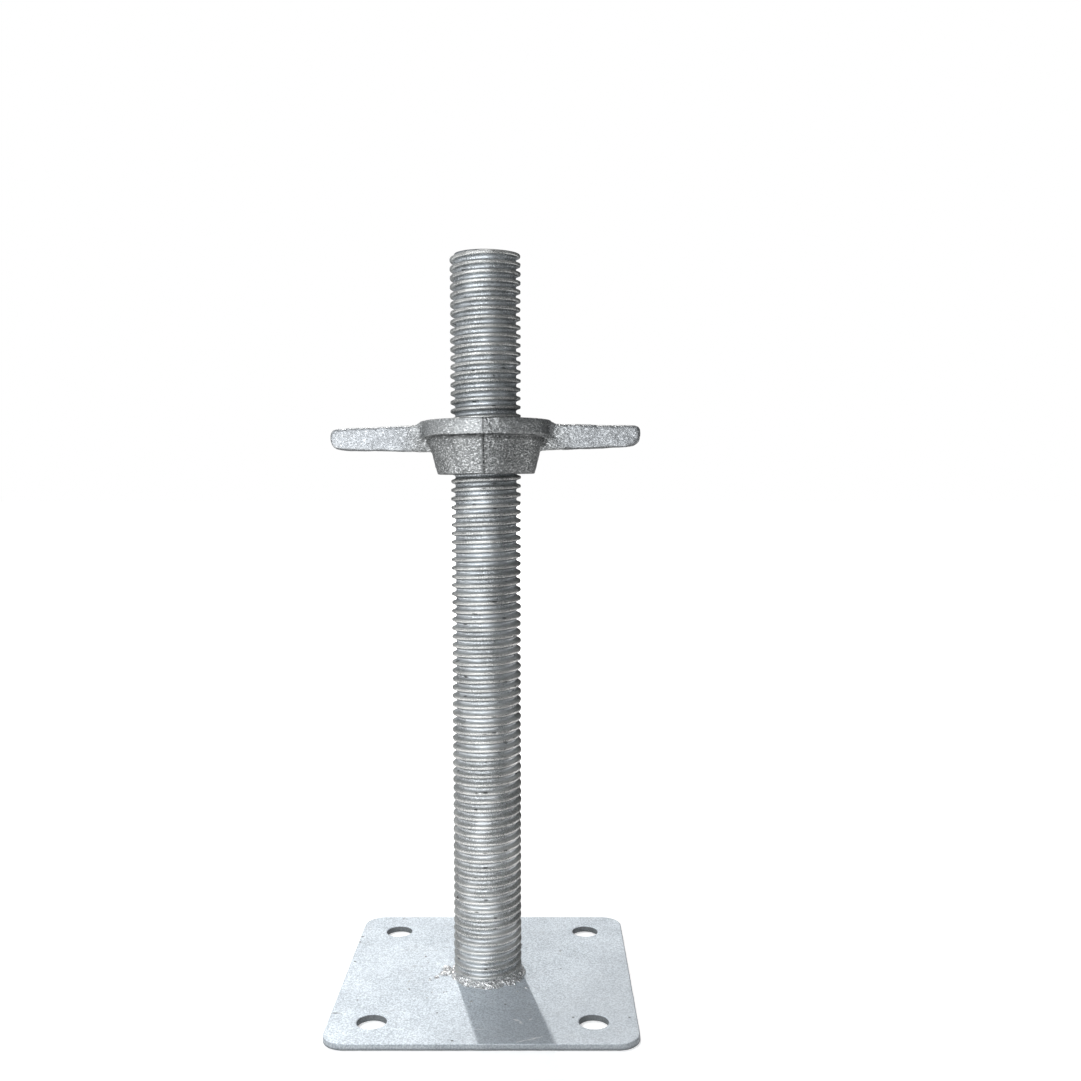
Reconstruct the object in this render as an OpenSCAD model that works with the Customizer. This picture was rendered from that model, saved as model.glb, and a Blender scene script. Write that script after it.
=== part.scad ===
// Scaffold base jack. A threaded tube stands welded on a square base plate, and a cast wing nut
// runs on its thread and carries the scaffold tube that is set over it. Millimetres, +Z up along
// the tube. The origin is the middle of the plate's underside, and the handles lie along X.

/* [Base plate] */
// Side of the square plate
plate_side = 160; // [120:5:220]
// Thickness of the plate
plate_thickness = 3.5; // [3:0.5:10]
// Radius of the plate's rounded corners
plate_corner_radius = 12; // [4:1:20]
// Diameter of the four fixing holes
hole_diameter = 15; // [10:1:20]
// Distance from the plate's edges to the centre of each hole
hole_inset = 23; // [18:1:30]

/* [Threaded tube] */
// Height of the whole jack, from the plate's underside to the top of the tube
jack_height = 400; // [300:10:600]
// Diameter over the crests of the thread
thread_diameter = 38; // [34:0.5:42]
// Depth of the thread, from crest to root
thread_depth = 2.7; // [2:0.1:3]
// Distance from one crest to the next
thread_pitch = 4.7; // [4:0.1:6]
// Width of the flat on a crest
thread_crest_width = 0.9; // [0.6:0.1:1.2]
// Width of the floor of the groove between two crests
thread_root_width = 1.4; // [1:0.1:1.8]
// Wall of the tube, measured at a crest
tube_wall = 5; // [4:0.5:8]

/* [Foot weld] */
// How far the bead stands out from the tube
weld_leg = 4.5; // [3:0.5:7]
// How far the bead climbs up the tube
weld_height = 5; // [3:0.5:8]

/* [Wing nut] */
// Length of bare thread above the nut
thread_above_nut = 87.6; // [10:0.2:180]
// Height of the nut, from the underside of its hub to the top of its flange
nut_height = 29; // [24:0.5:40]
// Gap between the thread's crests and the bore of the nut
nut_clearance = 0.3; // [0.2:0.05:0.6]
// Width of the flange, measured along the handles
flange_width = 68; // [62:1:84]
// Thickness of the flange
flange_thickness = 8.7; // [6:0.1:12]
// Radius of the flange's upper edge
flange_edge_radius = 3; // [1:0.5:4]
// How far the flange stands out over the hub
flange_overhang = 3.6; // [2:0.2:5]
// How much the hub narrows on each side down to its underside
hub_taper = 4.2; // [1:0.2:5]
// How far the axes of the hub's two rounded halves stand from its middle
hub_ridge_offset = 4; // [2:0.5:6]
// Width of the chamfer at both mouths of the bore
bore_chamfer = 1.2; // [0.5:0.1:2]

/* [Handles] */
// Length over both handles, from tip to tip
handle_span = 168; // [130:2:220]
// Thickness of a handle, from front to back
handle_thickness = 10; // [8:0.5:12]
// Height of a handle beside the hub
handle_root_height = 14.8; // [13:0.2:18]
// Height of a handle at its tip
handle_tip_height = 11.4; // [10:0.2:13]
// How far the lower corner of a tip stands back from the upper one
handle_tip_setback = 1.2; // [0:0.1:3]
// Height of the handles' centre line above the underside of the hub
handle_level = 19.6; // [16:0.2:21]

/* [Hidden] */

cut = 1;
arc_steps = 5;
arc_step = 90 / arc_steps;

thread_radius = thread_diameter / 2;
root_radius = thread_radius - thread_depth;
bore_radius = thread_radius - tube_wall;
flank_width = (thread_pitch - thread_crest_width - thread_root_width) / 2;
weld_top = plate_thickness + weld_height;
groove_count = floor((jack_height - thread_crest_width - weld_top) / thread_pitch);
thread_bottom = jack_height - thread_crest_width / 2 - groove_count * thread_pitch;

nut_bottom = jack_height - thread_above_nut - nut_height;
nut_bore_radius = thread_radius + nut_clearance;
flange_radius = flange_width / 2 + hub_ridge_offset;
hub_radius = flange_radius - flange_overhang;
hub_bottom_radius = hub_radius - hub_taper;
flange_bottom = nut_height - flange_thickness;

galvanized = [0.74, 0.76, 0.78];
rolled_zinc = [0.62, 0.64, 0.65];
weld_zinc = [0.66, 0.67, 0.68];
cast_zinc = [0.68, 0.69, 0.69];

// One flat plate with round corners and a fixing hole near each of them.
module base_plate() {
    corner = plate_side / 2 - plate_corner_radius;
    hole = plate_side / 2 - hole_inset;
    color(galvanized)
    difference() {
        linear_extrude(plate_thickness) {
            square([plate_side, 2 * corner], center = true);
            square([2 * corner, plate_side], center = true);
            for (x = [-corner, corner], y = [-corner, corner])
                translate([x, y])
                    circle(r = plate_corner_radius, $fn = 64);
        }
        for (x = [-hole, hole], y = [-hole, hole])
            translate([x, y, -cut])
                cylinder(d = hole_diameter, h = plate_thickness + 2 * cut, $fn = 64);
    }
}

// The outline of one groove of the thread, from the crest below it to the crest above it.
function groove(z) = [
    [thread_radius, z + thread_crest_width / 2],
    [root_radius, z + thread_crest_width / 2 + flank_width],
    [root_radius, z + thread_crest_width / 2 + flank_width + thread_root_width],
    [thread_radius, z + thread_pitch - thread_crest_width / 2]
];

// The tube, with a groove for each turn of its thread. The weld fills the thread at the foot.
module threaded_tube() {
    grooves = [
        for (turn = [0 : groove_count - 1])
            each groove(thread_bottom + turn * thread_pitch)
    ];
    foot = [[bore_radius, plate_thickness], [thread_radius, plate_thickness]];
    top = [[thread_radius, jack_height], [bore_radius, jack_height]];
    color(rolled_zinc)
    rotate_extrude($fn = 96)
        polygon(concat(foot, grooves, top));
}

// The fillet weld between the tube and the plate, with a bulging face.
module foot_weld() {
    face = [
        for (step = [0 : arc_steps])
            [thread_radius + weld_leg * cos(step * arc_step),
             plate_thickness + weld_height * sin(step * arc_step)]
    ];
    color(weld_zinc)
    rotate_extrude($fn = 96)
        polygon(concat([[thread_radius, plate_thickness]], face));
}

// A round body with the section of the whole nut: tapered hub, hollow fillet, flange.
module hub_turning() {
    fillet = [
        for (step = [0 : arc_steps])
            [flange_radius - flange_overhang * cos(step * arc_step),
             flange_bottom - flange_overhang * (1 - sin(step * arc_step))]
    ];
    edge = [
        for (step = [0 : arc_steps])
            [flange_radius - flange_edge_radius * (1 - cos(step * arc_step)),
             nut_height - flange_edge_radius * (1 - sin(step * arc_step))]
    ];
    rotate_extrude($fn = 96)
        polygon(concat([[0, 0], [hub_bottom_radius, 0]], fillet, edge, [[0, nut_height]]));
}

// One handle, along +X: a bar with rounded edges that gets lower towards its tip.
module handle() {
    radius = handle_thickness / 2;
    tip = handle_span / 2 - radius;
    root = nut_bore_radius + radius + cut;
    tip_rise = handle_tip_height / 2 - radius;
    root_rise = handle_root_height / 2 - radius;
    translate([0, 0, handle_level])
    hull() {
        translate([tip, 0, tip_rise])
            sphere(r = radius, $fn = 32);
        translate([tip - handle_tip_setback, 0, -tip_rise])
            sphere(r = radius, $fn = 32);
        translate([root, 0, root_rise])
            sphere(r = radius, $fn = 32);
        translate([root, 0, -root_rise])
            sphere(r = radius, $fn = 32);
    }
}

// The casting. Its hub is two rounded halves that meet in a ridge at the front and the back.
module wing_nut() {
    color(cast_zinc)
    translate([0, 0, nut_bottom])
    difference() {
        union() {
            intersection() {
                translate([hub_ridge_offset, 0, 0])
                    hub_turning();
                translate([-hub_ridge_offset, 0, 0])
                    hub_turning();
            }
            handle();
            mirror([1, 0, 0])
                handle();
        }
        translate([0, 0, -cut])
            cylinder(r = nut_bore_radius, h = nut_height + 2 * cut, $fn = 96);
        translate([0, 0, -cut])
            cylinder(r1 = nut_bore_radius + bore_chamfer + cut, r2 = nut_bore_radius,
                     h = bore_chamfer + cut, $fn = 96);
        translate([0, 0, nut_height - bore_chamfer])
            cylinder(r1 = nut_bore_radius, r2 = nut_bore_radius + bore_chamfer + cut,
                     h = bore_chamfer + cut, $fn = 96);
    }
}

base_plate();
threaded_tube();
foot_weld();
wing_nut();
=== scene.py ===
import math

import bmesh
import bpy
from mathutils import Matrix, Vector, noise


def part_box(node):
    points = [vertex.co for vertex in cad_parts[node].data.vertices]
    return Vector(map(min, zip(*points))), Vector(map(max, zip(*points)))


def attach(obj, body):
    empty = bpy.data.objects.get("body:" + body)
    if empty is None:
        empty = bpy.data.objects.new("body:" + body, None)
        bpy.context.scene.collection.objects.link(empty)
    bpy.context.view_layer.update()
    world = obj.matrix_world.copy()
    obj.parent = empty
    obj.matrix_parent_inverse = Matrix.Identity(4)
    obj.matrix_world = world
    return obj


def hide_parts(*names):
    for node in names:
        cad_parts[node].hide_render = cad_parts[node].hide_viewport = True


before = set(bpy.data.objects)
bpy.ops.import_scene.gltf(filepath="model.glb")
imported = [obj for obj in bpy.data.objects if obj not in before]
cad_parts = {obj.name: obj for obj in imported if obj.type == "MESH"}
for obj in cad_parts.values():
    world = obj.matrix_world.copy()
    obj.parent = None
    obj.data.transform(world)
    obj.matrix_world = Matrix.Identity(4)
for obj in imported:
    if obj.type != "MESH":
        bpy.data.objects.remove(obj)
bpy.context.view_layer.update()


# ---- Base plate ------------------------------------------------------------
# A square of steel sheet, sheared to size with its corners nibbled round, and punched with four
# fixing holes whose upper edges the punch has drawn in. It is hot-dip galvanised after welding,
# so it has the pale bluish, finely speckled skin of new zinc, with a few scuffs from handling.
PLATE_CORNER = 0.012
PLATE_CORNER_STEPS = 16
PLATE_HOLE = 0.0075
PLATE_HOLE_STEPS = 72
PLATE_HOLE_PLACE = 0.057
PLATE_EDGE_STEP = 0.0012
PLATE_EDGE_WOBBLE = 0.00022
PLATE_WOBBLE_SCALE = 170.0
# Below the first height the plate's walls carry a painted contact shadow; the sheared and punched walls
# are darker, partly dull cut zinc and partly painted shade.
PLATE_CONTACT_SHADOW_BAND = 0.0006
PLATE_UPPER_EDGE = 0.0004
PLATE_SHEARED_DULL_AND_SHADE = 0.55
PLATE_PUNCHED_DULL_AND_SHADE = 1.0
PLATE_DARK = (0.42, 0.465, 0.51, 1)
PLATE_LIGHT = (0.83, 0.895, 0.95, 1)
PLATE_PAINTED_SHADE = (0.40, 0.43, 0.46, 1)
PLATE_SCUFF = (0.34, 0.36, 0.38, 1)
PLATE_RUBBED = (0.88, 0.90, 0.92, 1)
PLATE_DROSS = (0.20, 0.21, 0.22, 1)
PLATE_WALL_DULL_AND_SHADE = (0.13, 0.138, 0.14, 1)
PLATE_BRIGHT_SCRATCH = (0.92, 0.93, 0.94, 1)
PLATE_DARK_SCRATCH = (0.13, 0.13, 0.13, 1)
# Each scratch is its start, its end and its width.
PLATE_BRIGHT_SCRATCHES = [((0.0155, -0.0545), (0.0190, -0.0568), 0.0010),
                          ((0.0186, -0.0566), (0.0206, -0.0600), 0.0010),
                          ((0.0232, -0.0550), (0.0256, -0.0540), 0.0008),
                          ((0.0165, -0.0785), (0.0325, -0.0715), 0.0008),
                          ((-0.0050, -0.0660), (0.0030, -0.0640), 0.0004)]
PLATE_DARK_SCRATCHES = [((-0.0450, 0.0085), (-0.0365, 0.0082), 0.0004),
                        ((-0.0370, 0.0150), (-0.0345, 0.0160), 0.0003),
                        ((-0.0800, 0.0480), (-0.0775, 0.0500), 0.0009),
                        ((-0.0800, 0.0430), (-0.0780, 0.0400), 0.0006),
                        ((-0.0800, -0.0480), (-0.0740, -0.0482), 0.0006),
                        ((-0.0235, -0.0236), (-0.0225, -0.0240), 0.0006),
                        ((-0.0215, -0.0236), (-0.0208, -0.0244), 0.0006),
                        ((0.0425, -0.0300), (0.0440, -0.0310), 0.0004)]
plate_low, plate_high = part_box("base_plate")
plate_top = plate_high.z


class Value:
    """One value in a node tree. Arithmetic with it adds the nodes that work it out, and a name or
    a number in brackets gives another output of the same node."""

    def __init__(self, tree, socket):
        self.tree = tree
        self.socket = socket

    def __getitem__(self, output):
        return Value(self.tree, self.socket.node.outputs[output])

    def __add__(self, other):
        return calc("ADD", self, other)

    def __radd__(self, other):
        return calc("ADD", other, self)

    def __sub__(self, other):
        return calc("SUBTRACT", self, other)

    def __rsub__(self, other):
        return calc("SUBTRACT", other, self)

    def __mul__(self, other):
        return calc("MULTIPLY", self, other)

    def __rmul__(self, other):
        return calc("MULTIPLY", other, self)

    def __truediv__(self, other):
        return calc("DIVIDE", self, other)

    def __rtruediv__(self, other):
        return calc("DIVIDE", other, self)

    def __pow__(self, other):
        return calc("POWER", self, other)

    def __neg__(self):
        return calc("MULTIPLY", self, -1.0)

    def __abs__(self):
        return calc("ABSOLUTE", self)


def fill(tree, socket, value):
    """Links a value to a socket, or sets the socket to a constant."""
    if isinstance(value, Value):
        tree.links.new(value.socket, socket)
    else:
        socket.default_value = value


def add_node(tree, kind, sockets=None, **settings):
    """Adds a node, makes its settings, fills its sockets by name or number, and gives its output."""
    made = tree.nodes.new(kind)
    for name, value in settings.items():
        setattr(made, name, value)
    for name, value in (sockets or {}).items():
        fill(tree, made.inputs[name], value)
    return Value(tree, made.outputs[0])


def tree_of(values):
    """The tree that these values are in, where some may be constants."""
    return next(value.tree for value in values if isinstance(value, Value))


def calc(operation, *values):
    """One step of arithmetic on numbers."""
    return add_node(tree_of(values), "ShaderNodeMath", dict(enumerate(values)), operation=operation)


def calc_vector(operation, *values):
    """One step of arithmetic on vectors."""
    return add_node(tree_of(values), "ShaderNodeVectorMath", dict(enumerate(values)), operation=operation)


def scaled(vector, factor):
    """A vector times a number."""
    return add_node(vector.tree, "ShaderNodeVectorMath", {0: vector, "Scale": factor}, operation="SCALE")


def split(vector):
    """A vector's three parts, by number."""
    return add_node(vector.tree, "ShaderNodeSeparateXYZ", {0: vector})


def joined(*parts):
    """A vector from its three parts."""
    return add_node(tree_of(parts), "ShaderNodeCombineXYZ", dict(enumerate(parts)))


def blend(factor, first, second):
    """The second colour over the first one, by the factor."""
    return add_node(factor.tree, "ShaderNodeMix", {0: factor, 6: first, 7: second}, data_type="RGBA")[2]


def spread(value, low, high, to_low=0.0, to_high=1.0):
    """Stretches a value from one range to another, with soft ends."""
    sockets = dict(enumerate((value, low, high, to_low, to_high)))
    return add_node(value.tree, "ShaderNodeMapRange", sockets, interpolation_type="SMOOTHSTEP")


def add_noise(tree, scale, detail=2.0, **more):
    """A noise texture of this scale and detail, with any other sockets by name."""
    return add_node(tree, "ShaderNodeTexNoise", {"Scale": scale, "Detail": detail, **more})


def new_group(name, kind, inputs, outputs):
    """An empty node group with these named inputs and outputs, each with its kind of socket."""
    tree = bpy.data.node_groups.new(name, kind + "NodeTree")
    for direction, sockets in (("INPUT", inputs), ("OUTPUT", outputs)):
        for socket_kind, labels in sockets.items():
            for label in labels:
                tree.interface.new_socket(label, in_out=direction, socket_type="NodeSocket" + socket_kind)
    return tree, Value(tree, tree.nodes.new("NodeGroupInput").outputs[0])


def end_group(tree, results):
    """Gives a group its results, by the names of its outputs."""
    ending = tree.nodes.new("NodeGroupOutput")
    for name, value in results.items():
        fill(tree, ending.inputs[name], value)
    return tree


def place_group(tree, group, sockets):
    """One copy of a shared node group, with this place's own values."""
    made = tree.nodes.new(group.bl_idname.replace("Tree", "Group"))
    made.node_tree = group
    for name, value in sockets.items():
        fill(tree, made.inputs[name], value)
    return Value(tree, made.outputs[0])


def make_zinc_skin():
    """The mottled skin of a zinc bath: fine speckle over soft clouds and frosty crystals."""
    tree, given = new_group(
        "zinc_skin", "Shader",
        {"Vector": ["Vector"], "Float": ["Grain Size", "Grain Share", "Cloud Size"],
         "Color": ["Dark", "Light"]},
        {"Color": ["Color"], "Float": ["Tone", "Height"]})
    cloud_scale = 1.0 / given["Cloud Size"]
    grain = add_noise(tree, 1.0 / given["Grain Size"], 3.0, Vector=given["Vector"])
    cloud = add_noise(tree, cloud_scale, 4.0, Vector=given["Vector"], Distortion=0.6)
    crystal = add_node(tree, "ShaderNodeTexVoronoi",
                       {"Vector": given["Vector"], "Scale": cloud_scale * 3.1})
    frost = add_node(tree, "ShaderNodeSeparateColor", {0: crystal["Color"]})
    coarse = spread(cloud, 0.32, 0.68) * 0.7 + frost * 0.3
    share = given["Grain Share"]
    tone = spread(grain, 0.3, 0.7) * share + coarse * (1.0 - share)
    return end_group(tree, {"Color": blend(tone, given["Dark"], given["Light"]), "Tone": tone,
                            "Height": grain * 0.7 + cloud * 0.3})


def make_scuffs():
    """Short thin scratches that all run one way, where a stretched noise crosses its middle."""
    tree, given = new_group(
        "scuffs", "Shader",
        {"Vector": ["Vector"], "Float": ["Turn", "Length", "Width", "Amount"]}, {"Float": ["Mask"]})
    turned = add_node(tree, "ShaderNodeVectorRotate",
                      {"Vector": given["Vector"], "Axis": (0.0, 0.0, 1.0), "Angle": given["Turn"]})
    squeeze = joined(1.0 / given["Length"], 1.0 / given["Width"], 1.0 / given["Width"])
    lines = add_noise(tree, 1.0, 1.0, Vector=calc_vector("MULTIPLY", turned, squeeze))
    line = spread(abs(lines - 0.5), 0.0, 0.012, 1.0, 0.0)
    patches = add_noise(tree, 55.0, 1.0, Vector=given["Vector"])
    floor_level = 0.72 - given["Amount"] * 0.3
    here = spread(patches, floor_level, floor_level + 0.08)
    return end_group(tree, {"Mask": line * here})


def make_scratch_line():
    """One scratch between two points, thinning out at both ends and a little ragged."""
    tree, given = new_group(
        "scratch_line", "Shader",
        {"Vector": ["Vector", "Start", "End"], "Float": ["Width"]}, {"Float": ["Mask"]})
    shake = add_noise(tree, 420.0, Vector=given["Vector"])["Color"]
    shift = scaled(calc_vector("SUBTRACT", shake, (0.5, 0.5, 0.5)), 0.0025)
    moved = calc_vector("ADD", given["Vector"], shift)
    from_start = calc_vector("SUBTRACT", moved, given["Start"])
    whole = calc_vector("SUBTRACT", given["End"], given["Start"])
    along = calc_vector("DOT_PRODUCT", from_start, whole)["Value"]
    full = calc_vector("DOT_PRODUCT", whole, whole)["Value"]
    share = calc("MINIMUM", calc("MAXIMUM", along / full, 0.0), 1.0)
    gap = calc_vector("DISTANCE", from_start, scaled(whole, share))["Value"]
    ends = share * (1.0 - share) * 4.0
    width = given["Width"] * (ends + 0.15)
    return end_group(tree, {"Mask": spread(gap / width, 0.4, 1.0, 1.0, 0.0)})


zinc_skin = make_zinc_skin()
scratch_line = make_scratch_line()
scuffs = make_scuffs()


def new_material(name):
    """A material, its tree, its Principled shader and the place on the object that is shaded."""
    made = bpy.data.materials.new(name)
    made.use_nodes = True
    tree = made.node_tree
    return made, tree, tree.nodes["Principled BSDF"], add_node(tree, "ShaderNodeTexCoord")["Object"]


def dress(tree, shader, bump, height, **looks):
    """Gives a shader its looks by the names of its sockets, and a bump of this strength and depth."""
    strength, depth = bump
    looks["Normal"] = add_node(tree, "ShaderNodeBump",
                               {"Strength": strength, "Distance": depth, "Height": height})
    for name, value in looks.items():
        fill(tree, shader.inputs[name.replace("_", " ")], value)


def make_plate_material():
    """Bright new zinc on sheet, with fine speckle, faint scuffs and a few dark specks of dross. It
    is painted darker toward the front right corner as painted shade. Its sheared and punched walls
    are darker, partly dull cut zinc and partly painted shade, with a painted contact shadow at the
    bottom edge."""
    made, tree, shader, here = new_material("galvanized_plate")
    skin = place_group(tree, zinc_skin, {
        "Vector": here, "Grain Size": 0.0008, "Grain Share": 0.78, "Cloud Size": 0.03,
        "Dark": PLATE_DARK, "Light": PLATE_LIGHT})
    scratch = place_group(tree, scuffs, {
        "Vector": here, "Turn": 0.35, "Length": 0.011, "Width": 0.0011, "Amount": 0.35})
    rubbed = place_group(tree, scuffs, {
        "Vector": here, "Turn": -0.55, "Length": 0.016, "Width": 0.0008, "Amount": 0.45})
    speck = add_node(tree, "ShaderNodeTexVoronoi", {"Vector": here, "Scale": 210.0})
    chance = add_node(tree, "ShaderNodeSeparateColor", {0: speck["Color"]})[1]
    dross = spread(speck, 0.1, 0.2, 1.0, 0.0) * spread(chance, 0.955, 0.96)
    place = split(here)
    # Painted shade: the colour darkens toward the front right corner, where less light falls.
    painted_shade_front_right = spread(place[0] - place[1], 0.01, 0.11, 0.0, 0.45)
    wall = add_node(tree, "ShaderNodeAttribute", attribute_name="wall")["Fac"]
    colour = blend(painted_shade_front_right, skin["Color"], PLATE_PAINTED_SHADE)
    colour = blend(scratch, colour, PLATE_SCUFF)
    colour = blend(rubbed * 0.7, colour, PLATE_RUBBED)
    colour = blend(dross, colour, PLATE_DROSS)
    for marks, finish in ((PLATE_BRIGHT_SCRATCHES, PLATE_BRIGHT_SCRATCH),
                          (PLATE_DARK_SCRATCHES, PLATE_DARK_SCRATCH)):
        for start, end, width in marks:
            line = place_group(tree, scratch_line, {
                "Vector": here, "Start": (*start, plate_top), "End": (*end, plate_top),
                "Width": width})
            colour = blend(line * 0.85, colour, finish)
    # Darker walls: partly dull cut zinc, partly painted shade, with a painted contact shadow at the
    # bottom.
    colour = blend(wall * 0.85, colour, PLATE_WALL_DULL_AND_SHADE)
    rough = spread(skin["Tone"], 0.2, 0.8, 0.68, 0.56) + calc("MAXIMUM", dross, wall) * 0.15
    height = skin["Height"] - scratch * 0.5 + dross * 0.6
    dress(tree, shader, (0.5, 0.0004), height, Base_Color=colour, Roughness=rough, Metallic=0.5)
    return made


def arc(centre, radius, start, end, steps):
    """Points of an arc with their outward directions, from one angle to another."""
    points = []
    for step in range(steps):
        angle = start + (end - start) * step / steps
        out = Vector((math.cos(angle), math.sin(angle)))
        points.append((centre + radius * out, out))
    return points


def plate_outline():
    """The round-cornered square, walked anticlockwise, with the outward direction at each point."""
    flat = (plate_high.x - plate_low.x) / 2 - PLATE_CORNER
    count = int(2 * flat / PLATE_EDGE_STEP)
    points = []
    for side in range(4):
        turn = side * math.pi / 2
        corner = Vector((flat, flat))
        corner.rotate(Matrix.Rotation(turn, 2))
        points += arc(corner, PLATE_CORNER, turn, turn + math.pi / 2, PLATE_CORNER_STEPS)
        out = Vector((0.0, 1.0))
        out.rotate(Matrix.Rotation(turn, 2))
        along = Vector((-out.y, out.x))
        start = corner + PLATE_CORNER * out
        points += [(start + along * (2 * flat * step / count), out) for step in range(count)]
    return points


def loft_edge(mesh, outline, profile, wobble, dull_and_shade):
    """Walls that follow an outline: each (height, inset) of the profile is one ring of points. The
    walls are marked for a darker colour in the material, partly dull cut zinc and partly painted
    shade, fully in a band of painted contact shadow at the bottom edge; the flat faces aren't."""
    rings = []
    wall_dull_and_shade_mark = mesh.verts.layers.float.get("wall") or mesh.verts.layers.float.new("wall")
    for height, inset in profile:
        ring = []
        for point, out in outline:
            spot = Vector((point.x, point.y, height)) * PLATE_WOBBLE_SCALE
            rough = wobble * (0.5 + 0.5 * noise.noise(spot))
            place = point - out * (inset + rough)
            ring.append(mesh.verts.new((place.x, place.y, height)))
            # Painted shade: the wall mark is full in a band at the bottom edge, as a painted contact
            # shadow.
            lower = 1.0 if height < PLATE_CONTACT_SHADOW_BAND else dull_and_shade
            ring[-1][wall_dull_and_shade_mark] = lower if height < plate_top - PLATE_UPPER_EDGE else 0.0
        rings.append(ring)
    for lower, upper in zip(rings, rings[1:]):
        for step in range(len(outline)):
            following = (step + 1) % len(outline)
            wall = (lower[step], lower[following], upper[following], upper[step])
            mesh.faces.new(wall).smooth = True
    return rings


def close_ring_edges(ring):
    """The edges of one closed ring of points."""
    edges = []
    for first, second in zip(ring, ring[1:] + ring[:1]):
        edges += [edge for edge in first.link_edges if edge.other_vert(first) is second]
    return edges


def finished_object(name, mesh, material):
    """A new object at the origin from a bmesh, with its faces turned outward."""
    bmesh.ops.remove_doubles(mesh, verts=mesh.verts, dist=1e-6)
    bmesh.ops.recalc_face_normals(mesh, faces=mesh.faces)
    data = bpy.data.meshes.new(name)
    mesh.to_mesh(data)
    mesh.free()
    data.materials.append(material)
    made = bpy.data.objects.new(name, data)
    bpy.context.scene.collection.objects.link(made)
    return made


def make_plate():
    """The plate as one closed mesh: sheared outer edge, four punched holes, flat faces."""
    mesh = bmesh.new()
    top = plate_top
    sheared = [(0.0, 0.00040), (0.00015, 0.00012), (0.0005, 0.0), (top * 0.45, 0.0),
               (top - 0.0010, 0.00006), (top - 0.0005, 0.00016), (top - 0.0002, 0.00036),
               (top - 0.00005, 0.00062), (top, 0.00095)]
    punched = [(0.0, -0.00030), (0.0002, -0.00010), (0.0005, 0.0), (top * 0.5, 0.0),
               (top - 0.0007, -0.00003), (top - 0.00042, -0.00010), (top - 0.0002, -0.00024),
               (top - 0.00005, -0.00042), (top, -0.00070)]
    outer = loft_edge(mesh, plate_outline(), sheared, PLATE_EDGE_WOBBLE, PLATE_SHEARED_DULL_AND_SHADE)
    lower_edges = close_ring_edges(outer[0])
    upper_edges = close_ring_edges(outer[-1])
    for x in (-PLATE_HOLE_PLACE, PLATE_HOLE_PLACE):
        for y in (-PLATE_HOLE_PLACE, PLATE_HOLE_PLACE):
            circle = arc(Vector((x, y)), PLATE_HOLE, 0, 2 * math.pi, PLATE_HOLE_STEPS)
            inner = loft_edge(mesh, circle, punched, -PLATE_EDGE_WOBBLE / 2, PLATE_PUNCHED_DULL_AND_SHADE)
            lower_edges += close_ring_edges(inner[0])
            upper_edges += close_ring_edges(inner[-1])
    for edges in (lower_edges, upper_edges):
        bmesh.ops.triangle_fill(mesh, use_beauty=True, use_dissolve=False, edges=edges)
    return finished_object("plate_sheet", mesh, make_plate_material())


plate = make_plate()
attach(plate, "jack_base")
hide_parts("base_plate")


# ---- Threaded tube ---------------------------------------------------------
# A thick-walled steel tube with a coarse round thread rolled over its whole length, right-handed,
# and sawn off square at the top. Zinc has filled the corners of the thread and left runs and pits.
TUBE_PITCH = 0.0047
TUBE_DEPTH = 0.0024
TUBE_BORE = 0.014
TUBE_ROWS = 14
TUBE_STEPS = 64
TUBE_INSIDE_ROWS = 5.0
TUBE_TOP_CREST = 0.0006
TUBE_TOP_GAP = 0.000002
TUBE_BEVEL = 0.0004
TUBE_DENT = 0.00024
TUBE_UNEVEN = 0.00012
TUBE_WELD_DISTANCE = 0.000004
TUBE_BORE_MARK = 0.8
TUBE_DARK = (0.28, 0.29, 0.29, 1)
TUBE_LIGHT = (0.70, 0.72, 0.72, 1)
TUBE_STREAK = (0.66, 0.67, 0.67, 1)
TUBE_PAINTED_FOOT_LIGHT = (0.84, 0.84, 0.82, 1)
TUBE_ROOT_PAINTED_HIGHLIGHT = (0.66, 0.72, 0.79, 1)
TUBE_CREST_PAINTED_HIGHLIGHT = (0.64, 0.61, 0.56, 1)
TUBE_DUST_AND_SHADE = (0.30, 0.30, 0.29, 1)
TUBE_SAWN = (0.10, 0.105, 0.11, 1)
TUBE_DOT = (0.12, 0.125, 0.125, 1)
TUBE_PIT = (0.05, 0.05, 0.05, 1)
# The depth of the thread, from 0 on a crest to 1 in the root, along one pitch from crest to crest.
THREAD_FORM = [(0.0, 0.0), (0.09, 0.01), (0.13, 0.05), (0.165, 0.16), (0.195, 0.34), (0.225, 0.54),
               (0.26, 0.74), (0.305, 0.90), (0.37, 0.98), (0.47, 1.0), (0.57, 0.98), (0.645, 0.90),
               (0.695, 0.74), (0.735, 0.54), (0.77, 0.34), (0.80, 0.16), (0.835, 0.05), (0.875, 0.01),
               (1.0, 0.0)]
tube_low, tube_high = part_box("threaded_tube")
tube_radius = tube_high.x


def set_curve(made, points):
    """Lays a float curve through these points."""
    curve = made.mapping.curves[0]
    while len(curve.points) < len(points):
        curve.points.new(0.5, 0.5)
    for place, point in zip(curve.points, points):
        place.location = point
        place.handle_type = "AUTO"
    made.mapping.update()


def make_thread_form():
    """How deep the thread is at an angle and a height, from 0 on a crest to 1 in the root."""
    tree, given = new_group("thread_form", "Geometry",
                            {"Float": ["Angle", "Height", "Pitch", "Crest Height"]},
                            {"Float": ["Depth"]})
    rise = (given["Height"] - given["Crest Height"]) / given["Pitch"]
    share = calc("FRACT", rise - given["Angle"] / (2 * math.pi))
    depth = add_node(tree, "ShaderNodeFloatCurve", {"Value": share})
    set_curve(depth.socket.node, THREAD_FORM)
    return end_group(tree, {"Depth": depth})


thread_form = make_thread_form()


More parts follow.
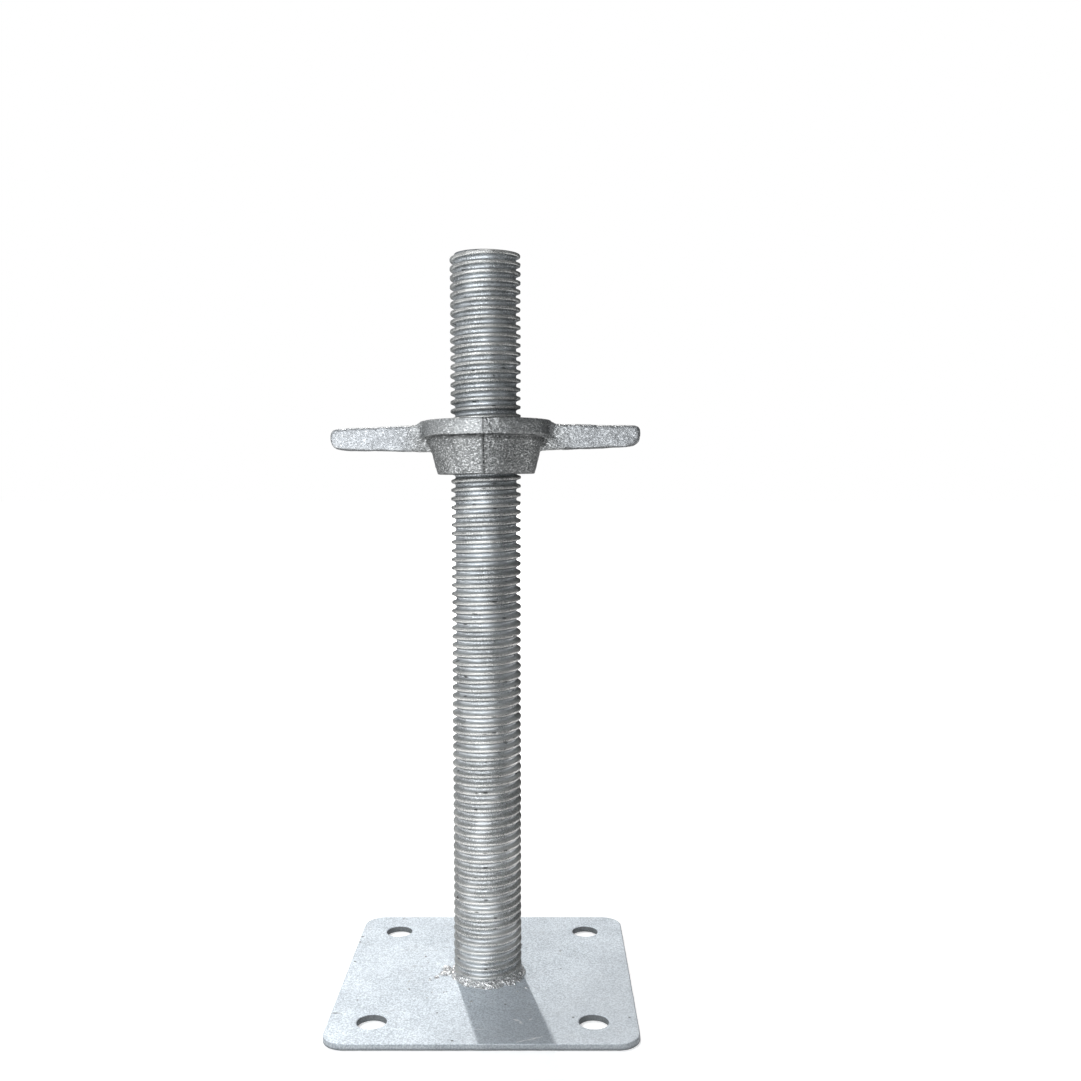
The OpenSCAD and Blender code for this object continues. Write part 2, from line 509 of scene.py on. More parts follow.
def new_geometry_tree(name, **inputs):
    """A geometry node tree for a modifier, with these named inputs and one for its material."""
    tree, given = new_group(name, "Geometry", {**inputs, "Material": ["Material"]},
                            {"Geometry": ["Geometry"]})
    tree.is_modifier = True
    return tree, given


def end_tree(tree, geometry, material):
    """Ends a geometry tree: real faces, smooth, with their material."""
    smooth = add_node(tree, "GeometryNodeSetShadeSmooth", {"Geometry": geometry})
    real = add_node(tree, "GeometryNodeRealizeInstances", {"Geometry": smooth})
    dressed = add_node(tree, "GeometryNodeSetMaterial", {"Geometry": real, "Material": material})
    return end_group(tree, {"Geometry": dressed})


def grow(name, tree, values):
    """Runs a geometry tree with these values by input name, and keeps its result as a mesh."""
    seed = bpy.data.objects.new(name, bpy.data.meshes.new(name + "_seed"))
    bpy.context.scene.collection.objects.link(seed)
    modifier = seed.modifiers.new("grow", "NODES")
    modifier.node_group = tree
    for item in tree.interface.items_tree:
        if item.in_out == "INPUT":
            modifier[item.identifier] = values[item.name]
    ready = seed.evaluated_get(bpy.context.evaluated_depsgraph_get())
    data = bpy.data.meshes.new_from_object(ready)
    data.name = name
    seed.modifiers.clear()
    seed.data = data
    return seed


def switch(factor, off, on):
    """The first number, or the second one where the factor is 1."""
    return add_node(factor.tree, "ShaderNodeMix", {0: factor, 2: off, 3: on})


def make_tube_tree():
    """A sheet of rows that climb one pitch a turn, pushed in to the thread's form, cut off level at
    both ends, and carried over the rim and down the bore."""
    tree, given = new_geometry_tree(
        "rolled_thread_tube",
        Float=["Crest Radius", "Thread Depth", "Pitch", "Crest Height", "Bottom", "Top",
               "Bore Radius", "Rim Bevel"],
        Int=["Rows per Pitch", "Steps Around"])
    where = split(add_node(tree, "GeometryNodeInputPosition"))
    bottom = given["Bottom"]
    top = given["Top"]
    pitches = calc("CEIL", (top - bottom) / given["Pitch"]) + 2.0
    outside_rows = pitches * given["Rows per Pitch"]
    all_rows = outside_rows + (TUBE_INSIDE_ROWS + 1.0)
    grid = add_node(tree, "GeometryNodeMeshGrid", {
        "Size X": 1.0, "Size Y": 1.0, "Vertices X": given["Steps Around"] + 1.0,
        "Vertices Y": all_rows})
    angle = (where[0] + 0.5) * (2 * math.pi)
    row = calc("ROUND", (where[1] + 0.5) * (all_rows - 1.0))
    climb = row / given["Rows per Pitch"] - 1.0 + angle / (2 * math.pi)
    height = calc("MINIMUM", calc("MAXIMUM", bottom + climb * given["Pitch"], bottom), top)
    past = row - outside_rows
    last = calc("GREATER_THAN", past, TUBE_INSIDE_ROWS - 0.5)
    height = switch(last, height, bottom)

    depth = place_group(tree, thread_form, {
        "Angle": angle, "Height": height, "Pitch": given["Pitch"],
        "Crest Height": given["Crest Height"]})
    filled = spread(height, 0.0, 0.16, 0.80, 1.0)
    radius = given["Crest Radius"] - depth * filled * given["Thread Depth"]
    edge = given["Rim Bevel"] - (top - height)
    radius = calc("MINIMUM", radius, given["Crest Radius"] - calc("MAXIMUM", edge, 0.0))
    out_x = calc("COSINE", angle)
    out_y = calc("SINE", angle)
    sample = joined(out_x * radius, out_y * radius, height)
    dents = add_noise(tree, 260.0, 3.0, Vector=sample)
    broad = add_noise(tree, 70.0, 1.0, Vector=sample)
    radius = radius - (spread(dents, 0.38, 0.75, 0.0, TUBE_DENT)
                       + spread(broad, 0.3, 0.7, 0.0, TUBE_UNEVEN))

    beyond_rim = calc("GREATER_THAN", past, 0.5)
    rim_step = beyond_rim * calc("LESS_THAN", past, 1.5)
    inside = beyond_rim * (1.0 - last)
    radius = switch(inside, radius, given["Bore Radius"] + rim_step * TUBE_BEVEL)
    down = calc("GREATER_THAN", past, TUBE_INSIDE_ROWS - 1.5)
    bore_height = switch(rim_step, switch(down, top - TUBE_BEVEL, bottom), top)
    height = switch(inside, height, bore_height)
    marked = add_node(tree, "GeometryNodeStoreNamedAttribute",
                      {"Geometry": grid, "Name": "thread_depth",
                       "Value": switch(inside, depth, TUBE_BORE_MARK)},
                      data_type="FLOAT", domain="POINT")
    rolled = add_node(tree, "GeometryNodeSetPosition", {
        "Geometry": marked, "Position": joined(out_x * radius, out_y * radius, height)})
    closed = add_node(tree, "GeometryNodeMergeByDistance",
                      {"Geometry": rolled, "Distance": TUBE_WELD_DISTANCE})
    return end_tree(tree, closed, given["Material"])


def object_normal_up(tree):
    """How far the surface faces up, from -1 to 1."""
    return split(add_node(tree, "ShaderNodeTexCoord")["Normal"])[2]


def make_thread_material():
    """Zinc over a rolled thread: dull grey with a fine sparkle, streaks along the turns, and pits.
    The tips of the crests are warmer and the roots lighter and bluer, both painted highlights, and
    the lower part of the tube is lighter as painted light from the plate and floor. Dust lies on
    the flanks that face up, and their darker colour is also painted shade."""
    made, tree, shader, here = new_material("galvanized_thread")
    depth = add_node(tree, "ShaderNodeAttribute", attribute_name="thread_depth")["Fac"]
    level = split(here)[2]
    skin = place_group(tree, zinc_skin, {
        "Vector": here, "Grain Size": 0.0006, "Grain Share": 0.55, "Cloud Size": 0.009,
        "Dark": TUBE_DARK, "Light": TUBE_LIGHT})
    flat = calc_vector("MULTIPLY", here, (160.0, 160.0, 1500.0))
    streak = add_noise(tree, 1.0, 3.0, Vector=flat)
    in_root = spread(depth, 0.35, 1.0)
    dust_and_shade = spread(object_normal_up(tree), 0.30, 0.80)
    sawn = spread(level, tube_high.z - 0.0010, tube_high.z - 0.0003, 0.0, 0.75)
    dashes = calc_vector("MULTIPLY", here, (190.0, 190.0, 620.0))
    pits = add_node(tree, "ShaderNodeTexVoronoi", {"Vector": dashes, "Scale": 1.0})
    chance = add_node(tree, "ShaderNodeSeparateColor", {0: pits["Color"]})
    pit = spread(pits, 0.18, 0.34, 1.0, 0.0) * spread(chance, 0.945, 0.955)
    sparkle = add_noise(tree, 1500.0, 1.0, Vector=here)
    rough_patch = spread(add_noise(tree, 55.0, 1.0, Vector=here), 0.38, 0.58)
    dots = spread(sparkle, 0.58, 0.47) * rough_patch
    colour = blend(spread(streak, 0.35, 0.7) * 0.25, skin["Color"], TUBE_STREAK)
    # Painted light: the lower part of the tube is lighter, standing in for light thrown up from the plate
    # and floor.
    colour = blend(spread(level, 0.02, 0.26, 0.55, 0.0), colour, TUBE_PAINTED_FOOT_LIGHT)
    # Painted highlight: the roots are lighter and bluer, standing in for their bluish reflection.
    colour = blend(in_root * 0.35, colour, TUBE_ROOT_PAINTED_HIGHLIGHT)
    # Painted highlight: the crest tips are warmer, standing in for the sun's warm glint.
    colour = blend(spread(depth, 0.0, 0.15, 0.25, 0.0), colour, TUBE_CREST_PAINTED_HIGHLIGHT)
    # Dust on the flanks that face up, which also dulls them; their darker colour is also painted shade
    # that dims the sun's glint there.
    colour = blend(dust_and_shade * 0.2, colour, TUBE_DUST_AND_SHADE)
    colour = blend(sawn, colour, TUBE_SAWN)
    colour = blend(dots * 0.5, colour, TUBE_DOT)
    colour = blend(pit * 0.8, colour, TUBE_PIT)
    rough = spread(skin["Tone"], 0.2, 0.8, 0.35, 0.21) + in_root * 0.04 + dust_and_shade * 0.15
    height = skin["Height"] * 0.8 + streak * 0.4 + rough_patch * (sparkle * 1.2) - pit * 0.8
    dress(tree, shader, (0.5, 0.00045), height, Base_Color=colour, Roughness=rough, Metallic=0.78,
          Specular_Tint=(0.25, 0.25, 0.25, 1))
    return made


thread_values = {"Pitch": TUBE_PITCH, "Crest Height": tube_high.z - TUBE_TOP_CREST}
tube = grow("thread_tube", make_tube_tree(), {
    **thread_values, "Crest Radius": tube_radius, "Thread Depth": TUBE_DEPTH,
    "Bottom": tube_low.z, "Top": tube_high.z - TUBE_TOP_GAP, "Bore Radius": TUBE_BORE,
    "Rows per Pitch": TUBE_ROWS, "Steps Around": TUBE_STEPS, "Rim Bevel": TUBE_BEVEL,
    "Material": make_thread_material()})
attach(tube, "jack_base")
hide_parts("threaded_tube")


# ---- Foot weld -------------------------------------------------------------
# One fillet weld run by hand round the foot of the tube, from arc-welded wire. Its bead is lumpy and
# uneven, it ends in a ragged tail on the left, and droplets of spatter are stuck on the plate.
WELD_VOXEL = 0.00034
WELD_SINK = 0.0035
WELD_REACH = 0.036
WELD_BURIED = 0.0003
WELD_SPARE = 0.0004
WELD_MARGIN = 0.001
WELD_MELT = 0.0012
WELD_LUMP = 0.00048
WELD_FEWEST_POINTS = 100
WELD_DARK = (0.50, 0.51, 0.51, 1)
WELD_LIGHT = (0.98, 0.98, 0.98, 1)
WELD_SOOT = (0.08, 0.08, 0.08, 1)
# Each drop of the tail is its place and its radius.
WELD_TAIL = [(-0.0218, -0.0010, 0.0030), (-0.0236, 0.0036, 0.0026), (-0.0250, -0.0026, 0.0023),
             (-0.0284, -0.0068, 0.0014), (-0.0318, -0.0100, 0.0010)]
weld_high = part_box("foot_weld")[1]


def make_weld_material():
    """Zinc over crusty weld metal: bright beads, dark pits and soot between them."""
    made, tree, shader, here = new_material("galvanized_weld")
    skin = place_group(tree, zinc_skin, {
        "Vector": here, "Grain Size": 0.0007, "Grain Share": 0.5, "Cloud Size": 0.004,
        "Dark": WELD_DARK, "Light": WELD_LIGHT})
    crust = add_noise(tree, 800.0, 2.0, Vector=here, Distortion=1.0)
    soot = spread(crust, 0.46, 0.36)
    colour = blend(soot * 0.6, skin["Color"], WELD_SOOT)
    rough = spread(skin["Tone"], 0.2, 0.8, 0.36, 0.18)
    height = skin["Height"] - soot * 0.6
    dress(tree, shader, (0.7, 0.0005), height, Base_Color=colour, Roughness=rough, Metallic=0.9)
    return made


def end_field(tree, density, low, high, given):
    """Ends a geometry tree: a skin where the density in a box crosses zero."""
    size = split(calc_vector("SUBTRACT", high, low))
    sockets = {"Density": density, "Background": -1.0, "Min": low, "Max": high}
    for place, axis in enumerate("XYZ"):
        sockets["Resolution " + axis] = calc("ROUND", size[place] / given["Voxel"])
    solid = add_node(tree, "GeometryNodeVolumeCube", sockets)
    skin = add_node(tree, "GeometryNodeVolumeToMesh",
                    {"Volume": solid, "Threshold": 0.0, "Adaptivity": 0.0})
    return end_tree(tree, skin, given["Material"])


def length_of(x, y):
    """The length of the line from the middle to a place."""
    return calc("SQRT", x ** 2.0 + y ** 2.0)


def make_weld_tree():
    """The bead as a field of distances to its skin, below zero inside, made solid where it crosses
    zero: a fillet round the tube that swells and shrinks, drops for the tail, and lumps."""
    tree, given = new_geometry_tree("foot_weld_bead", Float=[
        "Tube Radius", "Plate Top", "Leg", "Rise", "Sink", "Reach", "Voxel"])
    spot = add_node(tree, "GeometryNodeInputPosition")
    here = split(spot)
    floor = given["Plate Top"]
    out = length_of(here[0], here[1]) - given["Tube Radius"]
    up = here[2] - floor
    thick = spread(add_noise(tree, 85.0, 1.0), 0.3, 0.7, 0.28, 0.52)
    leg = given["Leg"] * thick
    rise = given["Rise"] * thick
    bead = (out / leg + up / rise - 1.0) * (leg * 0.7)
    for x, y, size in WELD_TAIL:
        gap = calc_vector("DISTANCE", spot, joined(x, y, floor - size * 0.3))["Value"]
        bead = calc("SMOOTH_MIN", bead, gap - size, WELD_MELT)
    lumps = add_noise(tree, 380.0, 2.0, Distortion=1.8)
    crumple = add_noise(tree, 900.0, 2.0, Distortion=0.8)
    bead = bead + spread(lumps, 0.3, 0.7, WELD_LUMP, -WELD_LUMP)
    bead = bead + spread(abs(crumple - 0.5), 0.0, 0.16, -0.00028, 0.0003)
    bead = calc("MAXIMUM", bead, -(out + given["Sink"]))
    bead = calc("MAXIMUM", bead, -(up + WELD_BURIED))
    tall = given["Rise"] + WELD_SPARE
    bead = calc("MAXIMUM", bead, up - tall)
    reach = given["Reach"]
    low = joined(-reach, reach * -0.8, floor - WELD_MARGIN)
    high = joined(reach * 0.8, reach * 0.8, floor + tall + WELD_MARGIN)
    return end_field(tree, bead * -1000.0, low, high, given)


def drop_crumbs(thing, fewest):
    """Takes away the loose specks that a field leaves in a mesh, each of fewer points than this."""
    mesh = bmesh.new()
    mesh.from_mesh(thing.data)
    left = set(mesh.verts)
    crumbs = []
    while left:
        found = [left.pop()]
        for point in found:
            near = [edge.other_vert(point) for edge in point.link_edges]
            near = [other for other in near if other in left]
            left.difference_update(near)
            found += near
        if len(found) < fewest:
            crumbs += found
    bmesh.ops.delete(mesh, geom=crumbs, context="VERTS")
    mesh.to_mesh(thing.data)
    mesh.free()


def make_spatter_tree():
    """Droplets that flew from the weld: small flattened beads, most of them near it."""
    tree, given = new_geometry_tree(
        "weld_spatter", Int=["Count", "Seed"],
        Float=["Near", "Far", "Floor", "Smallest", "Largest"])

    def chance(number, low=0.0, high=1.0):
        return add_node(tree, "FunctionNodeRandomValue", {
            "Min": low, "Max": high, "Seed": given["Seed"] + float(number)})["Value"]

    points = add_node(tree, "GeometryNodePoints", {"Count": given["Count"]})
    turn = chance(1) * (2 * math.pi)
    reach = chance(2) ** 2.6 * (given["Far"] - given["Near"]) + given["Near"]
    place = joined(calc("COSINE", turn) * reach, calc("SINE", turn) * reach, given["Floor"])
    spot = add_node(tree, "GeometryNodeSetPosition", {"Geometry": points, "Position": place})
    drop = add_node(tree, "GeometryNodeMeshIcoSphere", {"Radius": 1.0, "Subdivisions": 2})
    size = given["Smallest"] + chance(3) ** 3.0 * (given["Largest"] - given["Smallest"])
    shape = joined(size * chance(4, 0.8, 1.7), size, size * 0.75)
    drops = add_node(tree, "GeometryNodeInstanceOnPoints", {
        "Points": spot, "Instance": drop, "Rotation": joined(0.0, 0.0, chance(5) * 6.28),
        "Scale": shape})
    return end_tree(tree, drops, given["Material"])


weld_finish = make_weld_material()
weld = grow("weld_bead", make_weld_tree(), {
    "Tube Radius": tube_radius, "Plate Top": plate_top, "Leg": weld_high.x - tube_radius,
    "Rise": weld_high.z - plate_top, "Sink": WELD_SINK, "Reach": WELD_REACH, "Voxel": WELD_VOXEL,
    "Material": weld_finish})
drop_crumbs(weld, WELD_FEWEST_POINTS)
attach(weld, "jack_base")
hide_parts("foot_weld")

spatter = grow("weld_spatter", make_spatter_tree(), {
    "Count": 70, "Seed": 7, "Near": 0.0225, "Far": 0.055, "Floor": plate_top,
    "Smallest": 0.00015, "Largest": 0.00075, "Material": weld_finish})
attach(spatter, "jack_base")


# ---- Wing nut --------------------------------------------------------------
# One iron casting with two handles, poured in a mould that parts through the middle of the hub.
# The halves meet in a sharp ridge at front and back, with a small step in the flange where they
# didn't quite match. Its skin is sandy under the zinc, and its bore is threaded to fit the tube.
NUT_VOXEL = 0.0006
NUT_MARGIN = 0.002
NUT_HALF_FLANGE = 0.034
NUT_DEPTH_SPARE = 0.006
NUT_SKIN_SPARE = 0.0004
NUT_TILT = math.radians(0.7)
# The sizes from NUT_RIDGE to BORE_THREAD are in millimetres, like the distances in the casting's field.
NUT_RIDGE = 4.0
NUT_FLANGE_THICK = 8.7
NUT_FLANGE_HANG = 3.6
NUT_FLANGE_ROUND = 4.2
NUT_FLANGE_FOOT_ROUND = 1.4
NUT_HUB_TAPER = 4.2
NUT_HUB_ROUND = 0.6
NUT_STEP = 0.3
NUT_STEP_WIDTH = 4.8
NUT_STEP_LEAN = 3.3
NUT_NECK_ROUND = 1.2
NUT_SEAM_HALF = 0.55
NUT_SEAM_RISE = 1.1
HANDLE_LEVEL = 19.6
HANDLE_HALF_THICK = 4.6
HANDLE_DRAFT = 0.11
HANDLE_LENGTH = 58.0
HANDLE_TIP_HALF = 5.7
HANDLE_ROOT_RISE = 1.7
HANDLE_TOP_ROUND = 6.5
HANDLE_TIP_ROUND = 11.0
HANDLE_EDGE_ROUND = 3.2
BORE_CLEARANCE = 0.3
BORE_CHAMFER = 1.5
BORE_THREAD = 1.9
NUT_DARK = (0.15, 0.155, 0.155, 1)
NUT_LIGHT = (0.38, 0.39, 0.39, 1)
NUT_HOLLOW = (0.10, 0.105, 0.105, 1)
NUT_GLINT = (0.86, 0.87, 0.88, 1)
NUT_RUBBED_AND_LIT = (0.46, 0.48, 0.505, 1)
NUT_RUBBED_AND_LIT_HOLLOW = (0.22, 0.23, 0.23, 1)
NUT_SEAM_LINE = (0.08, 0.085, 0.085, 1)
NUT_FLANGE_PAINTED_LIGHT = (0.80, 0.82, 0.83, 1)
NUT_SHADE = (0.05, 0.052, 0.052, 1)
nut_low, nut_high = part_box("wing_nut")


def make_nut_tree():
    """The casting as a field of distances to its skin, in millimetres, below zero inside, made
    solid where it crosses zero. Soft maximum and minimum round the corners and the fillets."""
    tree, given = new_geometry_tree("cast_wing_nut", Float=[
        "Bottom", "Height", "Half Span", "Half Flange", "Tube Radius", "Pitch", "Crest Height",
        "Voxel"])
    here = split(add_node(tree, "GeometryNodeInputPosition"))
    mm = 1000.0
    x = here[0] * mm
    y = here[1] * mm
    z = (here[2] - given["Bottom"]) * mm
    tall = given["Height"] * mm
    across = abs(x)
    flange = given["Half Flange"] * mm + NUT_RIDGE
    from_axis = length_of(across + NUT_RIDGE, y)

    slope = NUT_HUB_TAPER / (tall - (NUT_FLANGE_THICK + NUT_FLANGE_HANG))
    hub_foot = flange - (NUT_FLANGE_HANG + NUT_HUB_TAPER)
    hub = calc("SMOOTH_MAX", from_axis - (hub_foot + slope * z), -z, NUT_HUB_ROUND)

    foot_gap = tall - NUT_FLANGE_THICK - z
    disc = calc("SMOOTH_MAX", from_axis - flange, z - tall, NUT_FLANGE_ROUND)
    disc = calc("SMOOTH_MAX", disc, foot_gap, NUT_FLANGE_FOOT_ROUND)
    up_flange = foot_gap / -NUT_FLANGE_THICK
    step_edge = NUT_STEP_WIDTH - up_flange * up_flange * NUT_STEP_LEAN
    step_here = calc("LESS_THAN", y, 0.0) * (
        calc("GREATER_THAN", x, 0.0) * calc("LESS_THAN", x, step_edge))
    disc = disc - step_here * NUT_STEP
    body = calc("SMOOTH_MIN", hub, disc, NUT_NECK_ROUND)

    reach = given["Half Span"] * mm
    half_height = HANDLE_TIP_HALF + (reach - across) / HANDLE_LENGTH * HANDLE_ROOT_RISE
    level = z - HANDLE_LEVEL
    beyond = across - reach
    shape = calc("MAXIMUM", calc("SMOOTH_MAX", level - half_height, beyond, HANDLE_TOP_ROUND),
                 calc("SMOOTH_MAX", -level - half_height, beyond, HANDLE_TIP_ROUND))
    thick = abs(y) - HANDLE_HALF_THICK + level * HANDLE_DRAFT
    handle = calc("SMOOTH_MAX", shape, thick, HANDLE_EDGE_ROUND)
    fillet = spread(level, -7.0, -2.0, 1.5, 8.0)
    body = calc("SMOOTH_MIN", body, handle, fillet)

    seam = calc("MAXIMUM", -(across - NUT_SEAM_HALF), 0.0)
    body = body - seam * NUT_SEAM_RISE
    flattened = joined(here[0], here[1], here[2] * 1.7)
    sand = add_noise(tree, 560.0, 2.0, Vector=flattened, Distortion=1.2)
    swell = add_noise(tree, 95.0, 1.0)
    body = body + spread(sand, 0.3, 0.7, -0.18, 0.18) * spread(across, 36.0, 48.0, 1.0, 0.5)
    body = body + spread(swell, 0.3, 0.7, -0.16, 0.2)

    depth = place_group(tree, thread_form, {
        "Angle": calc("ARCTAN2", y, x), "Height": here[2], "Pitch": given["Pitch"],
        "Crest Height": given["Crest Height"]})
    tube_side = given["Tube Radius"] * mm
    bore = tube_side + BORE_CLEARANCE - spread(depth, 0.72, 1.0, 0.0, BORE_THREAD)
    mouth = calc("MINIMUM", z, tall - z)
    bore = calc("MAXIMUM", bore, tube_side + BORE_CHAMFER - mouth)
    body = calc("MAXIMUM", body, bore - length_of(x, y))
    body = calc("MAXIMUM", body, -z)
    body = calc("MAXIMUM", body, z - tall)

    side = given["Half Flange"] + NUT_DEPTH_SPARE
    low = joined(-NUT_MARGIN - given["Half Span"], 0.0 - side, given["Bottom"] - NUT_MARGIN)
    high = joined(given["Half Span"] + NUT_MARGIN, side,
                  given["Bottom"] + given["Height"] + NUT_MARGIN)
    return end_field(tree, -body, low, high, given)


def make_casting_material():
    """Zinc over sand-cast iron: a coarse bright grain with dark hollows. The handles are lighter,
    partly rubbed bright by hands and partly a painted highlight that is stronger on the left, the
    flange is lighter as a painted highlight, and the undersides and the corner under the flange
    carry painted shade."""
    made, tree, shader, here = new_material("galvanized_casting")
    place = split(here)
    sideways = abs(place[0])
    level = place[2] - nut_low.z
    skin = place_group(tree, zinc_skin, {
        "Vector": here, "Grain Size": 0.0010, "Grain Share": 0.5, "Cloud Size": 0.011,
        "Dark": NUT_DARK, "Light": NUT_LIGHT})
    sand = add_noise(tree, 820.0, 2.0, Vector=calc_vector("MULTIPLY", here, (1.0, 1.0, 1.8)),
                     Roughness=0.55, Distortion=0.5)
    hollow = spread(sand, 0.50, 0.38)
    colour = blend(hollow * 0.5, skin["Color"], NUT_HOLLOW)
    colour = blend(spread(sand, 0.54, 0.66) * 0.7, colour, NUT_GLINT)
    # The handles are lighter: partly rubbed bright by hands, partly a painted highlight, stronger on the
    # left handle where more light falls.
    rubbed = spread(sideways, 0.034, 0.050) * spread(place[0], -0.04, 0.05, 0.62, 0.45)
    colour = blend(rubbed, colour, blend(hollow * 0.35, NUT_RUBBED_AND_LIT, NUT_RUBBED_AND_LIT_HOLLOW))
    # A dark line is painted along the parting ridge, fainter on the flange than on the hub.
    wiggle = spread(sand, 0.3, 0.7, -0.0004, 0.0004)
    seam_line = spread(abs(place[0] + wiggle), 0.0002, 0.0007, 0.6, 0.0)
    colour = blend(seam_line * spread(level, 0.0195, 0.0215, 1.0, 0.35), colour, NUT_SEAM_LINE)
    # Painted highlight: the flange is lighter all round, away from the handles.
    flange_painted_light = spread(level, 0.0195, 0.0215) * spread(sideways, 0.036, 0.042, 0.23, 0.0)
    colour = blend(flange_painted_light, colour, NUT_FLANGE_PAINTED_LIGHT)
    shade = (spread(abs(level - 0.0192), 0.0003, 0.0015, 0.5, 0.0)
             * spread(sideways, 0.026, 0.031, 1.0, 0.0))
    colour = blend(shade, colour, NUT_SHADE)
    at_fillet = spread(sideways, 0.026, 0.031) * spread(sideways, 0.040, 0.045, 1.0, 0.0)
    under = spread(object_normal_up(tree), -0.75, -0.2, 0.65, 0.0) * (1.0 - at_fillet * 0.85)
    colour = blend(under, colour, NUT_SHADE)
    rough = spread(skin["Tone"], 0.2, 0.8, 0.46, 0.28)
    height = (sand * 0.7 + skin["Height"] * 0.3) * spread(sideways, 0.034, 0.050, 1.0, 0.65)
    dress(tree, shader, (0.9, 0.0008), height, Base_Color=colour, Roughness=rough, Metallic=0.9,
          Specular_Tint=(0.45, 0.45, 0.45, 1))
    return made


def tilt_about(thing, centre, angle):
    """Tips a finished mesh a little to its left about a centre, as a loose nut hangs."""
    turn = Matrix.Rotation(-angle, 4, "Y")
    shift = Matrix.Translation(centre)
    thing.data.transform(shift @ turn @ shift.inverted())


nut = grow("cast_nut", make_nut_tree(), {
    **thread_values, "Bottom": nut_low.z, "Height": nut_high.z - nut_low.z,
    "Half Span": nut_high.x - NUT_SKIN_SPARE, "Half Flange": NUT_HALF_FLANGE,
    "Tube Radius": tube_radius, "Voxel": NUT_VOXEL, "Material": make_casting_material()})
tilt_about(nut, (nut_low + nut_high) / 2, NUT_TILT)
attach(nut, "nut")
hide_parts("wing_nut")


# ---- Studio ----------------------------------------------------------------
# A pale floor that runs out of sight under an even white room, one low-strength sun from behind, and
# a camera a little above the nut. A cloth tent and a black flag are seen in reflections only.
FLOOR_HALF = 12.0
FLOOR_LEVEL = -0.0001
FLAG_LEVEL = 0.001
FLAG_CORNERS = [(0.12, -0.10), (0.30, -0.75), (0.95, -0.60), (0.80, 0.10)]
TENT_RADIUS = 1.15
SUN_PLACE = Vector((-0.117, 0.517, 0.848))
SUN_STRENGTH = 1.4
SUN_WIDTH = math.radians(1.2)
SUN_COLOUR = (1.0, 0.97, 0.94)
CAMERA_PLACE = (0.0296, -0.6054, 0.2816)
CAMERA_DOWN = 4.9


def flat_object(name, corners, level, material):
    """One level face between these corners."""
    mesh = bmesh.new()
    mesh.faces.new([mesh.verts.new((x, y, level)) for x, y in corners])
    return finished_object(name, mesh, material)


def make_floor():
    """A wide pale floor that keeps the object's shadow."""
    made, tree, shader, here = new_material("studio_floor")
    path = add_node(tree, "ShaderNodeLightPath")
    seen = calc("MAXIMUM", path["Is Camera Ray"],
                calc("MAXIMUM", path["Is Glossy Ray"], path["Is Transmission Ray"]))
    away = calc_vector("LENGTH", here)["Value"]
    looks = {"Base Color": (0.8, 0.8, 0.8, 1), "Roughness": 0.9, "Emission Color": (1, 1, 1, 1),
             "Emission Strength": seen * spread(away, 0.12, 0.7, 0.48, 1.0)}
    for name, value in looks.items():
        fill(tree, shader.inputs[name], value)
    corners = [(x * FLOOR_HALF, y * FLOOR_HALF) for x, y in ((-1, -1), (1, -1), (1, 1), (-1, 1))]
    return flat_object("studio_floor", corners, FLOOR_LEVEL, made)


def make_world():
    """A plain white room, which the camera sees behind the object."""
    world = bpy.data.worlds.new("studio_world")
    world.use_nodes = True
    bpy.context.scene.world = world
    world.node_tree.nodes["Background"].inputs["Color"].default_value = (1, 1, 1, 1)


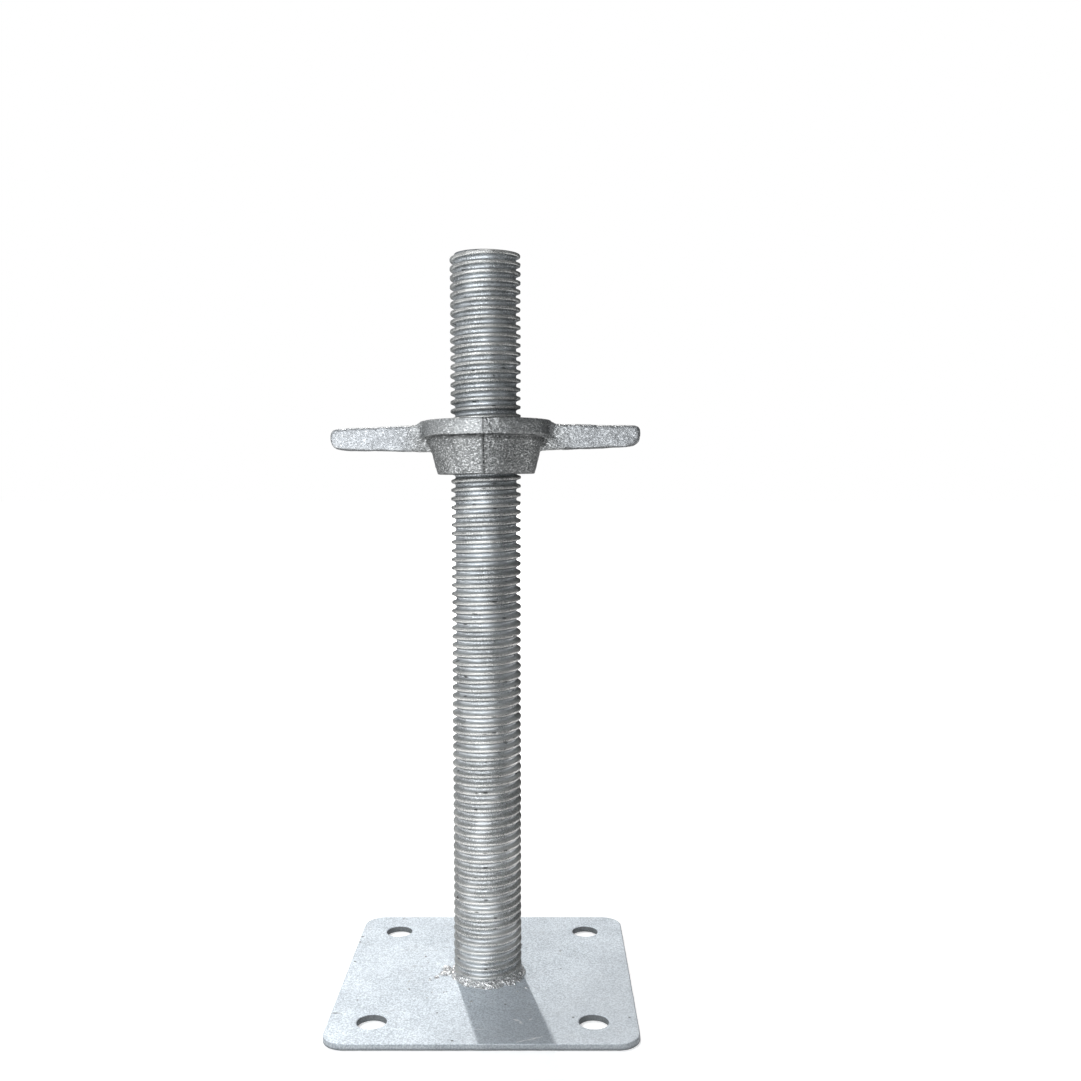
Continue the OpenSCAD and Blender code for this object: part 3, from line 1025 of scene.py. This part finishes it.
def make_tent():
    """A light tent of cloth round the set, which the camera looks through. It is grey and darker to
    the right, with a bright panel from the left to the front, a bright patch high at the back and
    a window high on the left."""
    made = bpy.data.materials.new("studio_tent")
    made.use_nodes = True
    tree = made.node_tree
    tree.nodes.clear()
    place = split(add_node(tree, "ShaderNodeTexCoord")["Object"])
    turn = calc("ARCTAN2", place[0], -place[1])
    grey = spread(place[0], -0.9, 0.3, 0.42, 0.19)
    panel = spread(turn, -1.35, -0.75) * spread(turn, -0.02, 0.42, 1.0, 0.0)
    panel = panel * spread(place[2], 0.55, 0.95, 1.3, 0.0)
    above = spread(turn, -0.95, -0.55) * spread(turn, 0.02, 0.36, 1.0, 0.0)
    above = above * spread(place[2], 0.38, 0.55) * spread(place[2], 0.75, 0.98, 2.6, 0.0)
    patch = spread(place[1], 0.3, 0.8) * spread(place[0], -0.36, 0.06, 2.1, 0.08)
    patch = patch * (spread(place[2], 0.30, 0.46) * spread(place[2], 0.62, 0.88, 1.0, 0.0))
    patch = patch * spread(abs(place[0]), 0.35, 0.60, 1.0, 0.0)
    window = spread(place[0], -0.65, -0.15, 0.5, 0.0) * spread(place[2], 0.35, 0.65)
    total = calc("MAXIMUM", grey, patch) + (panel + above + window)
    glow = add_node(tree, "ShaderNodeEmission", {"Color": (0.96, 0.98, 1.0, 1), "Strength": total})
    fill(tree, tree.nodes.new("ShaderNodeOutputMaterial").inputs[0], glow)
    mesh = bmesh.new()
    bmesh.ops.create_uvsphere(mesh, u_segments=64, v_segments=32, radius=TENT_RADIUS)
    tent = finished_object("studio_tent", mesh, made)
    tent.visible_camera = False
    tent.visible_shadow = False
    return tent


def make_flag():
    """A black cloth laid on the floor at the front right, which only the metal's gloss sees. It
    keeps the floor's light off the right side of the nut."""
    made = bpy.data.materials.new("studio_flag")
    made.use_nodes = True
    made.node_tree.nodes["Principled BSDF"].inputs["Base Color"].default_value = (0, 0, 0, 1)
    flag = flat_object("studio_flag", FLAG_CORNERS, FLAG_LEVEL, made)
    flag.visible_camera = False
    flag.visible_diffuse = False
    flag.visible_shadow = False
    return flag


make_world()
for thing in (make_floor(), make_tent(), make_flag()):
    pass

sun_data = bpy.data.lights.new("sun_behind_left", "SUN")
sun_data.energy = SUN_STRENGTH
sun_data.color = SUN_COLOUR
sun_data.angle = SUN_WIDTH
sun = bpy.data.objects.new("sun_behind_left", sun_data)
sun.location = SUN_PLACE
sun.rotation_mode = "QUATERNION"
sun.rotation_quaternion = (-SUN_PLACE).to_track_quat("-Z", "Y")
bpy.context.scene.collection.objects.link(sun)

camera_data = bpy.data.cameras.new("camera")
camera_data.sensor_width = 36.0
camera_data.lens = 37.0
camera_data.shift_y = 0.03
camera = bpy.data.objects.new("camera", camera_data)
camera.location = CAMERA_PLACE
camera.rotation_euler = (math.radians(90.0 - CAMERA_DOWN), 0.0, 0.0)
bpy.context.scene.collection.objects.link(camera)
bpy.context.scene.camera = camera
bpy.context.scene.view_settings.view_transform = "Standard"
